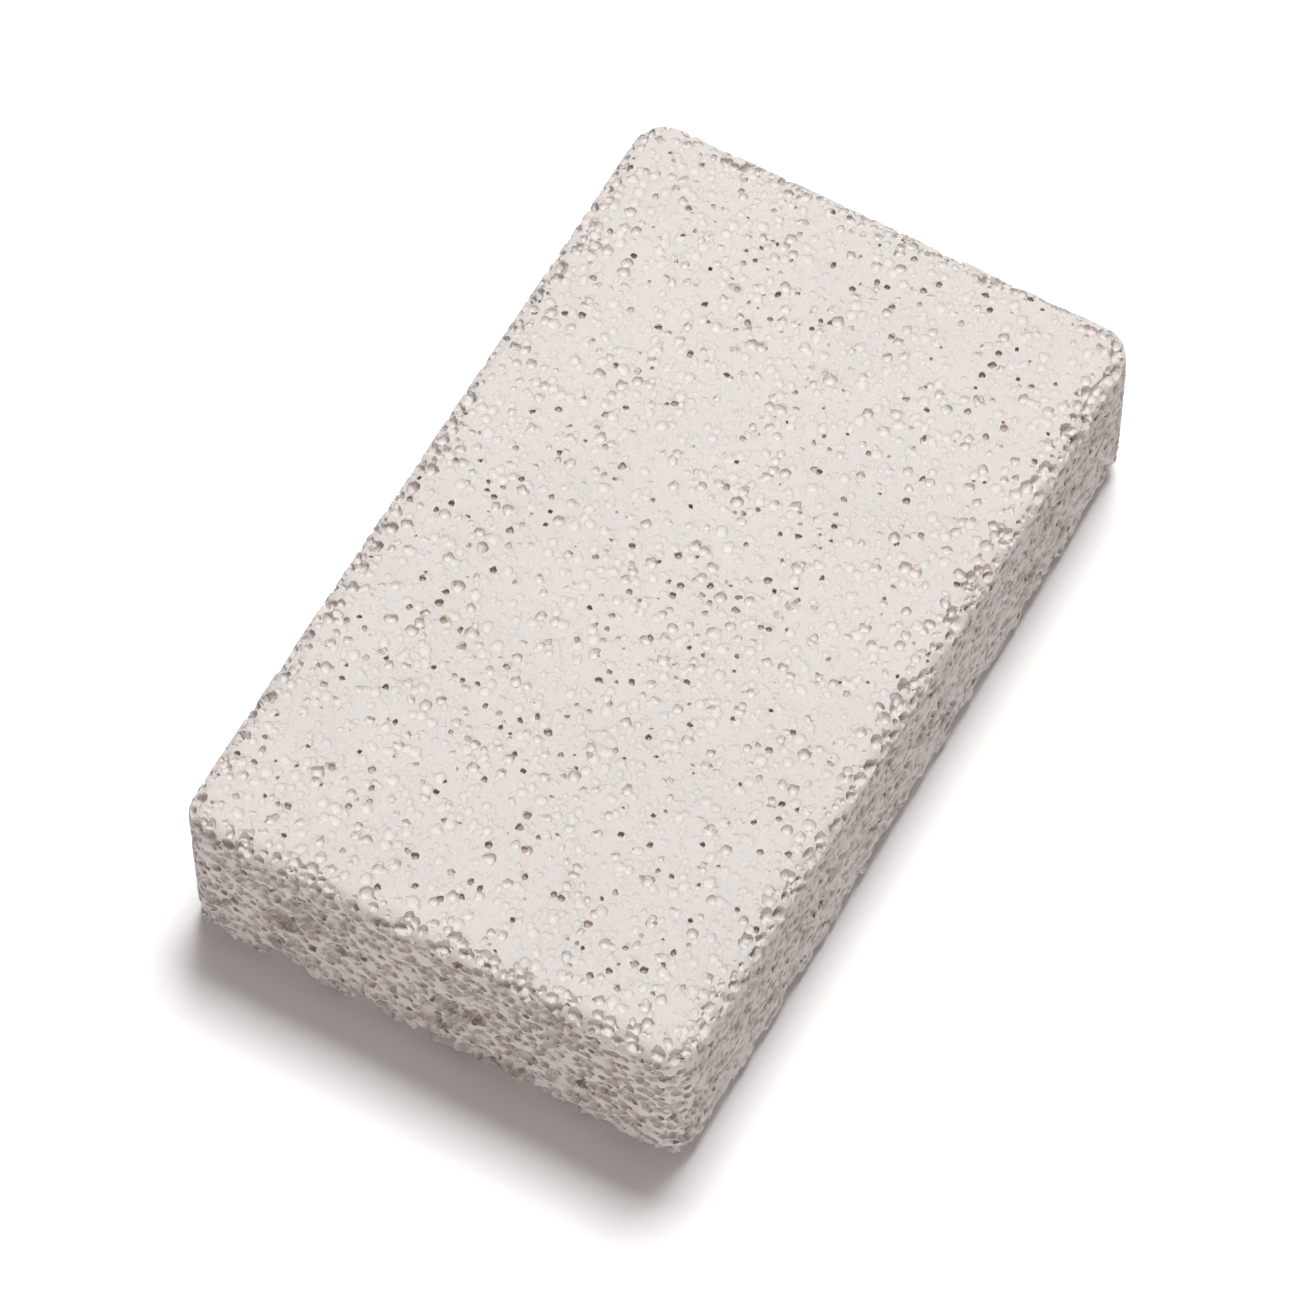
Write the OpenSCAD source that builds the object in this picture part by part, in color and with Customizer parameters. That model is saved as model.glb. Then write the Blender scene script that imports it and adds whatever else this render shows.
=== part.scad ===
// Porous hand block: one solid bar with rounded upright corners and softened edges.
// The bar rests on z = 0, its length runs along X and its width along Y.

/* [Bar] */
// Length of the bar
bar_l = 95; // [60:1:150]
// Width of the bar
bar_w = 57; // [40:1:90]
// Thickness of the bar
bar_t = 23; // [14:1:40]

/* [Rounding] */
// Radius of the four upright corners, seen from above
corner_r = 4; // [3:0.5:8]
// Radius of the edges around the top and bottom faces
edge_r = 2.5; // [1:0.25:2.75]

/* [Hidden] */
stone_colour = "#E6DFDB";
$fn = 96;
post_x = bar_l / 2 - corner_r;
post_y = bar_w / 2 - corner_r;

// Rectangle of the given width that stands as tall as the bar, with rounded corners
module rounded_section(width) {
    half = width / 2;
    translate([-half, edge_r]) square([width, bar_t - 2 * edge_r]);
    translate([edge_r - half, 0]) square([width - 2 * edge_r, bar_t]);
    for (x = [edge_r - half, half - edge_r], y = [edge_r, bar_t - edge_r])
        translate([x, y]) circle(r = edge_r);
}

// Half of a corner post's outline, to be turned about the post's own axis
module post_profile() {
    intersection() {
        rounded_section(2 * corner_r);
        square([corner_r, bar_t]);
    }
}

// Upright round corner of the bar with rolled edges at both ends
module corner_post() {
    rotate_extrude() post_profile();
}

// Middle of the bar: its section swept straight along the length
module long_core() {
    rotate([90, 0, 90])
        translate([0, 0, -post_x]) linear_extrude(2 * post_x) rounded_section(bar_w);
}

// The same bar swept straight across the width
module cross_core() {
    rotate([90, 0, 0])
        translate([0, 0, -post_y]) linear_extrude(2 * post_y) rounded_section(bar_l);
}

module block() {
    color(stone_colour) union() {
        long_core();
        cross_core();
        for (x = [-post_x, post_x], y = [-post_y, post_y])
            translate([x, y, 0]) corner_post();
    }
}

block();
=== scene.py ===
import time
from math import cos, radians, sin
import bpy
from mathutils import Matrix, Vector


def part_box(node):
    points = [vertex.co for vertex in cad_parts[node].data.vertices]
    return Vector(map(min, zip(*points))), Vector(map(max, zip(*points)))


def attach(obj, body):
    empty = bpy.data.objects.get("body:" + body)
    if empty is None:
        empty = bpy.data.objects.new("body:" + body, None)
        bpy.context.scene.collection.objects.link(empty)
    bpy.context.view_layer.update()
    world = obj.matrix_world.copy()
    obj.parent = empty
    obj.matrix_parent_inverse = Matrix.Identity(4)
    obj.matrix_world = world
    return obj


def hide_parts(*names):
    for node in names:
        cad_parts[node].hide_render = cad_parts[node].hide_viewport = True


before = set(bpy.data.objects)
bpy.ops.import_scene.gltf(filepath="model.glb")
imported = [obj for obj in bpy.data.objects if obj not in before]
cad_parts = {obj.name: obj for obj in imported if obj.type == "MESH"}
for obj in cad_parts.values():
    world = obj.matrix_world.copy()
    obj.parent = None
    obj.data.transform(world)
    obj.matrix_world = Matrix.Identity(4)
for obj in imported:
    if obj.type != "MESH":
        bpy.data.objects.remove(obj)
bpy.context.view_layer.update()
startTime = time.perf_counter()
mm = 0.001
barLow, barHigh = (Vector(corner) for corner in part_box("block"))
barSize = barHigh - barLow
barMiddle = (barLow + barHigh) / 2


def report(stage):
    print(f"{time.perf_counter() - startTime:6.1f} s  {stage}")


cameraLook = {
    "heading": 29.9,      # degrees from +X to the way the camera looks, seen from above
    "downward": 60.46,    # degrees below level
    "roll": -0.65,        # degrees
    "distance": 7.594,    # bar lengths from the camera to the point that it looks at
    "aim": (-0.032, 0.002),   # that point, from the middle of the bar, in bar lengths
    "lens": 199.0, "sensorWidth": 36.0,       # millimetres
    "clipStart": 0.01,    # metres
}


def placeCamera():
    heading, downward = radians(cameraLook["heading"]), radians(cameraLook["downward"])
    look = Vector((cos(heading) * cos(downward), sin(heading) * cos(downward), -sin(downward)))
    aim = barMiddle + Vector((*cameraLook["aim"], 0)) * barSize.x
    bpy.ops.object.camera_add(location=aim - look * cameraLook["distance"] * barSize.x)
    camera = bpy.context.object
    turn = look.to_track_quat("-Z", "Y").to_matrix() @ Matrix.Rotation(radians(cameraLook["roll"]), 3, "Z")
    camera.rotation_euler = turn.to_euler()
    camera.data.lens = cameraLook["lens"]
    camera.data.sensor_width = cameraLook["sensorWidth"]
    camera.data.clip_start = cameraLook["clipStart"]
    bpy.context.scene.camera = camera


placeCamera()


# a node socket with sums, used for the relief and for the finish alike
class Wire:
    def __init__(self, tree, socket=None):
        self.tree, self.socket = tree, socket

    def make(self, kind, settings=None, feeds=None):
        node = self.tree.nodes.new(kind)
        for name, value in (settings or {}).items():
            setattr(node, name, value)
        for name, value in (feeds or {}).items():
            if isinstance(name, int):
                entry = node.inputs[name]
            else:
                entry = next(s for s in node.inputs if s.name == name and s.enabled)
            if isinstance(value, Wire):
                self.tree.links.new(value.socket, entry)
            else:
                entry.default_value = value
        return {out.name: Wire(self.tree, out) for out in node.outputs if out.enabled}

    def maths(self, operation, *others):
        feeds = dict(enumerate((self, *others)))
        return self.make("ShaderNodeMath", {"operation": operation}, feeds)["Value"]

    def vector(self, operation, other):
        feeds = {0: self, 1: other}
        return self.make("ShaderNodeVectorMath", {"operation": operation}, feeds)

    def __add__(self, other):
        return self.maths("ADD", other)

    def __mul__(self, other):
        return self.maths("MULTIPLY", other)

    def __sub__(self, other):
        return self.maths("SUBTRACT", other)

    def __rsub__(self, other):
        return self.maths("MULTIPLY", -1.0) + other

    def size(self):
        return self.maths("ABSOLUTE")

    def root(self):
        return self.maths("MAXIMUM", 0.0).maths("SQRT")

    def most(self, other):
        return self.maths("MAXIMUM", other)

    def least(self, other):
        return self.maths("MINIMUM", other)

    def step(self, low, high):      # 0 below low, 1 above high, smooth between
        settings = {"interpolation_type": "SMOOTHSTEP"}
        feeds = {"Value": self, "From Min": low, "From Max": high}
        return self.make("ShaderNodeMapRange", settings, feeds)["Result"]

    def shifted(self, move):
        return self.vector("ADD", move)["Vector"]

    def scaled(self, factor):
        return self.vector("MULTIPLY", (factor,) * 3)["Vector"]

    def along(self, direction):
        return self.vector("DOT_PRODUCT", direction)["Value"]

    def ragged(self, grain, move):
        feeds = {"Vector": self, "Scale": 1 / grain, "Detail": 1.0}
        seen = self.make("ShaderNodeTexNoise", {}, feeds)["Color"]
        return self.shifted(seen.shifted((-0.5, -0.5, -0.5)).scaled(move))

    def tinted(self, colour):
        settings = {"data_type": "RGBA", "blend_type": "MULTIPLY"}
        return self.make("ShaderNodeMix", settings, {"Factor": 1.0, "A": self, "B": (*colour, 1)})["Result"]

    def noise(self, grain, detail=2.0):
        feeds = {"Vector": self, "Scale": 1 / grain, "Detail": detail}
        return self.make("ShaderNodeTexNoise", {}, feeds)["Fac"]


pumice = {
    "cornerRadius": 3.5 * mm, "cornerSegments": 10,     # upright edges
    "edgeRadius": 2.3 * mm, "edgeSegments": 8,          # edges of the two broad faces
    "gridStep": 0.17 * mm,
    "triangles": 196000, "smoothAngle": 50.0,
    # From here on in millimetres. A layer of bubbles has a cell, the range of its radius, and its flat,
    # which is a pit's depth as a share of a round one's.
    "rimWidth": 4.5,            # how far in from an edge the broad faces are rougher
    "edgeWidth": 3.0,           # the strip on both sides of an edge that is the most crumbly
    "sideFrom": (0.8, 3.5),     # how far from the broad faces the sides' own look begins and is full
    "raggedGrain": 0.7, "raggedMove": 0.4,      # keeps the bubbles from being true circles
    "patchGrain": 9.0, "patchSwell": 0.25,      # areas with larger and with smaller bubbles
    "rimSwell": 0.10, "edgeSwell": 0.12, "sideShrink": 0.15,
    "bubbleCell": 1.3, "bubbleRadius": (0.30, 0.68), "bubbleFlat": 0.38, "bubbleFlatRim": 0.34,
    "edgeFlat": 0.35,
    "deepShare": 0.32, "deepFlat": 0.42,        # some bubbles are cut open further down
    "dimpleCell": 0.9, "dimpleRadius": (0.15, 0.42), "dimpleFlat": 0.42, "dimpleFlatRim": 0.42,
    "holeCell": 1.5, "holeRadius": (0.14, 0.40), "holeDepth": 0.50,
    "longSideEase": 0.42,       # share taken off the depth of the pits of the two long sides
    "hollowCell": 4.6, "hollowRadius": (0.8, 2.0), "hollowFlat": 0.40,
    "lowEdgeHeight": 4.5,
    "scallopGrain": 2.4, "scallopFrom": (0.4, 0.66), "scallopDepth": 1.0,   # bites out of the lower edges
    "lumpGrain": 1.5, "lumpFrom": (0.38, 0.66), "lumpDepth": 0.45,      # smaller ones between them
    "cornerWidth": 5.0,
    "cornerWear": 0.10,         # taken off the upright corners, and as much again where three faces meet
    "waveGrain": 6.0, "waveDepth": 0.08, "gritGrain": 0.6, "gritDepth": 0.06,
    # The finish. The grains and the pit depths at which a tint begins and is full are in millimetres too.
    "cool": (0.600, 0.583, 0.557), "warm": (0.634, 0.581, 0.563), "warmGrain": 1.1,
    "shadeTint": (0.975, 0.975, 0.975), "shadeGrain": 14.0,
    "speckTint": (0.93, 0.93, 0.93), "speckGrain": 0.32,
    # painted highlight: the pits of the broad faces are made lighter, as where their walls catch the light
    "pitHighlightTint": (1.12, 1.12, 1.12), "pitHighlightFrom": (0.05, 0.25),           # pits of the broad faces
    # painted shade: the pits of the sides are made darker and browner, as in the shade of their recesses
    "sideRecessShadeTint": (0.75, 0.69, 0.61), "sideRecessShadeFrom": (0.14, 0.46),
    # painted shade: the deep holes are coloured dark, as where light is lost in them
    "holeShadeColour": (0.36, 0.30, 0.22),
    "roughness": 0.92, "specular": 0.25, "bump": 0.6,
}


def bubbleLayer(place, kind, move, swell):
    settings = {"voronoi_dimensions": "3D", "feature": "F1"}
    cell, (least, most) = pumice[kind + "Cell"], pumice[kind + "Radius"]
    seen = place.make("ShaderNodeTexVoronoi", settings, {"Vector": place.shifted(move), "Scale": 1 / cell})
    reach = seen["Color"].along((1, 0, 0)) * (most - least) + least + swell
    gap = seen["Distance"] * cell
    chord = reach * reach - gap * gap      # square of the half chord, below 0 outside the bubble
    return chord, seen["Color"].along((0, 1, 0))


# gives the depth below the plain bar and that of the pits, in millimetres, and masks of the holes and sides
def relief(place):
    half = barSize / 2 / mm
    height = place.along((0, 0, 1))
    fromEnd = half.x - place.along((1, 0, 0)).size()
    fromSide = half.y - place.along((0, 1, 0)).size()
    fromBroad = half.z - (height - half.z).size()
    inward = fromEnd.least(fromSide)

    # masks, most of them 1 where the name says and 0 further away
    rim = 1 - inward.step(0.3, pumice["rimWidth"])
    offBroad = fromBroad.step(*pumice["sideFrom"])
    side = rim * offBroad
    strip = 1 - inward.step(0.5, pumice["edgeWidth"])
    edge = strip * (1 - fromBroad.step(0.5, pumice["edgeWidth"]))
    lowEdge = strip * (1 - height.step(0.5, pumice["lowEdgeHeight"]))
    longSide = (1 - fromSide.step(0.3, 2)) * fromEnd.step(1, 5) * offBroad
    nearEnd = 1 - fromEnd.step(0, pumice["cornerWidth"])
    nearSide = 1 - fromSide.step(0, pumice["cornerWidth"])
    corner = nearEnd * nearSide * (2 - fromBroad.step(0, 4))        # 2 where three faces meet
    chipped = rim * (1.2 - height.step(half.z, half.z * 1.8))       # less near the top
    ease = 1 - longSide * pumice["longSideEase"]

    patches = place.shifted((31, 7, 3)).noise(pumice["patchGrain"]) - 0.5
    swell = patches * pumice["patchSwell"] + rim * pumice["rimSwell"]
    swell = swell + edge * pumice["edgeSwell"] - side * pumice["sideShrink"]
    ragged = place.ragged(pumice["raggedGrain"], pumice["raggedMove"])
    bubble, chance = bubbleLayer(ragged, "bubble", (5, 9, 2), swell)
    dimple = bubbleLayer(ragged, "dimple", (40, 3, 17), patches * 0.1 + rim * 0.03 + side * 0.12)[0]
    hollow = bubbleLayer(ragged, "hollow", (71, 8, 33), rim * 0.2)[0]
    hole, darkness = bubbleLayer(ragged, "hole", (11, 60, 8), patches * 0.1 + side * 0.08)
    hole = hole.step(0.0, 0.06) * (darkness * 0.6 + 0.4)

    share = pumice["deepShare"]
    deep = (1 - chance.step(share - 0.05, share + 0.05)) * pumice["deepFlat"]
    bubbleFlat = deep + edge * pumice["edgeFlat"] + rim * pumice["bubbleFlatRim"] + pumice["bubbleFlat"]
    dimpleFlat = rim * pumice["dimpleFlatRim"] + pumice["dimpleFlat"]
    pit = (bubble.root() * bubbleFlat).most(dimple.root() * dimpleFlat).most(0)

    wave = place.shifted((3, 50, 9)).noise(pumice["waveGrain"]) * pumice["waveDepth"]
    grit = place.noise(pumice["gritGrain"], 3.0) * pumice["gritDepth"]
    scallop = place.shifted((8, 21, 4)).noise(pumice["scallopGrain"], 1.0).step(*pumice["scallopFrom"])
    lump = place.shifted((2, 14, 60)).noise(pumice["lumpGrain"], 1.0).step(*pumice["lumpFrom"])
    worn = hollow.root() * chipped * ease * pumice["hollowFlat"] + corner * pumice["cornerWear"]
    worn = worn + (scallop * pumice["scallopDepth"] + lump * pumice["lumpDepth"]) * lowEdge
    return (pit * ease).most(hole * pumice["holeDepth"]) + wave + worn + grit, pit, hole, side


def selectOnly(thing):
    bpy.ops.object.select_all(action="DESELECT")
    thing.select_set(True)
    bpy.context.view_layer.objects.active = thing


def selectEdges(bar, wanted):
    bpy.ops.mesh.select_all(action="DESELECT")
    bpy.ops.object.mode_set(mode="OBJECT")
    points = bar.data.vertices
    for edge in bar.data.edges:
        edge.select = wanted(*(points[i].co for i in edge.vertices))
    bpy.ops.object.mode_set(mode="EDIT")


def applyModifier(thing, kind, **settings):
    selectOnly(thing)
    bpy.ops.object.modifier_add(type=kind)
    modifier = thing.modifiers[-1]
    for name, value in settings.items():
        setattr(modifier, name, value)
    bpy.ops.object.modifier_apply(modifier=modifier.name)


def poreNodes():
    tree = bpy.data.node_groups.new("openPores", "GeometryNodeTree")
    tree.interface.new_socket("Geometry", in_out="INPUT", socket_type="NodeSocketGeometry")
    tree.interface.new_socket("Geometry", in_out="OUTPUT", socket_type="NodeSocketGeometry")
    start = Wire(tree)
    shape = start.make("NodeGroupInput")["Geometry"]
    position = start.make("GeometryNodeInputPosition")["Position"]
    normal = start.make("GeometryNodeInputNormal")["Normal"]
    settings = {"data_type": "FLOAT_VECTOR", "domain": "POINT"}
    feeds = {"Geometry": shape, "Name": "restPlace", "Value": position}
    kept = start.make("GeometryNodeStoreNamedAttribute", settings, feeds)["Geometry"]
    depth = relief(position.scaled(1 / mm))[0]
    feeds = {"Vector": normal, "Scale": depth * -mm}
    push = start.make("ShaderNodeVectorMath", {"operation": "SCALE"}, feeds)["Vector"]
    moved = start.make("GeometryNodeSetPosition", {}, {"Geometry": kept, "Offset": push})["Geometry"]
    start.make("NodeGroupOutput", {}, {"Geometry": moved})
    return tree


def makeBar():
    bpy.ops.object.select_all(action="DESELECT")
    bpy.ops.mesh.primitive_cube_add(size=1, location=barMiddle)
    bar = bpy.context.object
    bar.name = "porous_bar"
    bar.scale = barSize
    bpy.ops.object.transform_apply(location=True, rotation=True, scale=True)
    bpy.ops.object.mode_set(mode="EDIT")
    bpy.ops.mesh.select_mode(type="EDGE")
    tiny = 0.1 * mm
    selectEdges(bar, lambda a, b: abs(a.z - b.z) > tiny)
    bpy.ops.mesh.bevel(offset=pumice["cornerRadius"], segments=pumice["cornerSegments"], affect="EDGES")
    selectEdges(bar, lambda a, b: abs(a.z - b.z) < tiny)
    bpy.ops.mesh.bevel(offset=pumice["edgeRadius"], segments=pumice["edgeSegments"], affect="EDGES")
    bpy.ops.object.mode_set(mode="OBJECT")
    report("rounded bar")
    applyModifier(bar, "REMESH", mode="VOXEL", voxel_size=pumice["gridStep"])
    report(f"fine grid of {len(bar.data.vertices)} points")
    applyModifier(bar, "NODES", node_group=poreNodes())
    report("pores opened")
    bar.data.calc_loop_triangles()
    count = len(bar.data.loop_triangles)
    applyModifier(bar, "DECIMATE", ratio=pumice["triangles"] / count, use_collapse_triangulate=True)
    report(f"{count} triangles brought down to {len(bar.data.polygons)}")
    selectOnly(bar)
    bpy.ops.object.shade_smooth_by_angle(angle=radians(pumice["smoothAngle"]))
    return bar


bar = makeBar()


def mixColour(amount, one, other):
    feeds = {"Factor": amount}
    for name, colour in (("A", one), ("B", other)):
        feeds[name] = colour if isinstance(colour, Wire) else (*colour, 1)
    return amount.make("ShaderNodeMix", {"data_type": "RGBA"}, feeds)["Result"]


def stoneFinish():
    material = bpy.data.materials.new("foamedStone")
    material.use_nodes = True
    tree = material.node_tree
    tree.nodes.clear()
    start = Wire(tree)
    rest = start.make("ShaderNodeAttribute", {"attribute_name": "restPlace"})["Vector"]
    place = rest.scaled(1 / mm)
    depth, pit, hole, side = relief(place)
    warmth = place.noise(pumice["warmGrain"], 3.0).step(0.4, 0.6)
    stone = mixColour(warmth, pumice["cool"], pumice["warm"])
    shade = place.shifted((9, 4, 1)).noise(pumice["shadeGrain"]).step(0.35, 0.65)
    stone = mixColour(shade, stone, stone.tinted(pumice["shadeTint"]))
    speck = place.noise(pumice["speckGrain"], 1.0).step(0.3, 0.7)
    stone = mixColour(speck, stone, stone.tinted(pumice["speckTint"]))
    # painted highlight in the pits of the broad faces
    pitHighlight = pit.step(*pumice["pitHighlightFrom"]) * (1 - side)
    colour = mixColour(pitHighlight, stone, stone.tinted(pumice["pitHighlightTint"]))
    # painted shade in the pits of the sides
    sideRecessShade = pit.step(*pumice["sideRecessShadeFrom"]) * side
    colour = mixColour(sideRecessShade, colour, stone.tinted(pumice["sideRecessShadeTint"]))
    # painted shade in the deep holes
    colour = mixColour(hole, colour, pumice["holeShadeColour"])
    bumpFeeds = {"Strength": pumice["bump"], "Distance": 1.0, "Height": depth * -mm}
    bump = start.make("ShaderNodeBump", {}, bumpFeeds)["Normal"]
    skinFeeds = {"Base Color": colour, "Roughness": pumice["roughness"], "Normal": bump,
                 "Specular IOR Level": pumice["specular"]}
    skin = start.make("ShaderNodeBsdfPrincipled", {}, skinFeeds)["BSDF"]
    start.make("ShaderNodeOutputMaterial", {}, {"Surface": skin})
    return material


bar.data.materials.clear()
bar.data.materials.append(stoneFinish())
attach(bar, "root")
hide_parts("block")


studio = {
    "floorReach": 4.0, "floorGrey": 0.93, "floorRoughness": 0.9,
    "key": {"heading": 8.0, "height": 72.0, "power": 13.8, "size": 0.40, "distance": 1.1,
            "colour": (1, 1, 1)},
    "fill": {"heading": 203.0, "height": 13.0, "power": 4.1, "size": 0.45, "distance": 1.2,
             "colour": (1.0, 0.915, 0.92)},
    "dome": 0.215, "domeColour": (1.0, 0.885, 0.85),
}


def makeLamp(lamp):
    heading, height = radians(lamp["heading"]), radians(lamp["height"])
    toLamp = Vector((cos(heading) * cos(height), sin(heading) * cos(height), sin(height)))
    bpy.ops.object.light_add(type="AREA", location=barMiddle + toLamp * lamp["distance"])
    made = bpy.context.object
    made.rotation_euler = toLamp.to_track_quat("Z", "Y").to_euler()
    made.data.size = lamp["size"]
    made.data.energy = lamp["power"]
    made.data.color = lamp["colour"]
    made.visible_camera = False


def makeStudio():
    bpy.ops.object.select_all(action="DESELECT")
    bpy.ops.mesh.primitive_plane_add(size=studio["floorReach"], location=(0, 0, barLow.z))
    floor = bpy.context.object
    floor.name = "floor"
    paint = bpy.data.materials.new("paleFloor")
    paint.use_nodes = True
    skin = paint.node_tree.nodes["Principled BSDF"]
    skin.inputs["Base Color"].default_value = (*[studio["floorGrey"]] * 3, 1)
    skin.inputs["Roughness"].default_value = studio["floorRoughness"]
    floor.data.materials.append(paint)
    makeLamp(studio["key"])
    makeLamp(studio["fill"])
    world = bpy.data.worlds.new("softRoom")
    world.use_nodes = True
    world.node_tree.nodes["Background"].inputs["Color"].default_value = (*studio["domeColour"], 1)
    world.node_tree.nodes["Background"].inputs["Strength"].default_value = studio["dome"]
    bpy.context.scene.world = world
    bpy.context.scene.view_settings.view_transform = "Standard"


makeStudio()
report("studio")
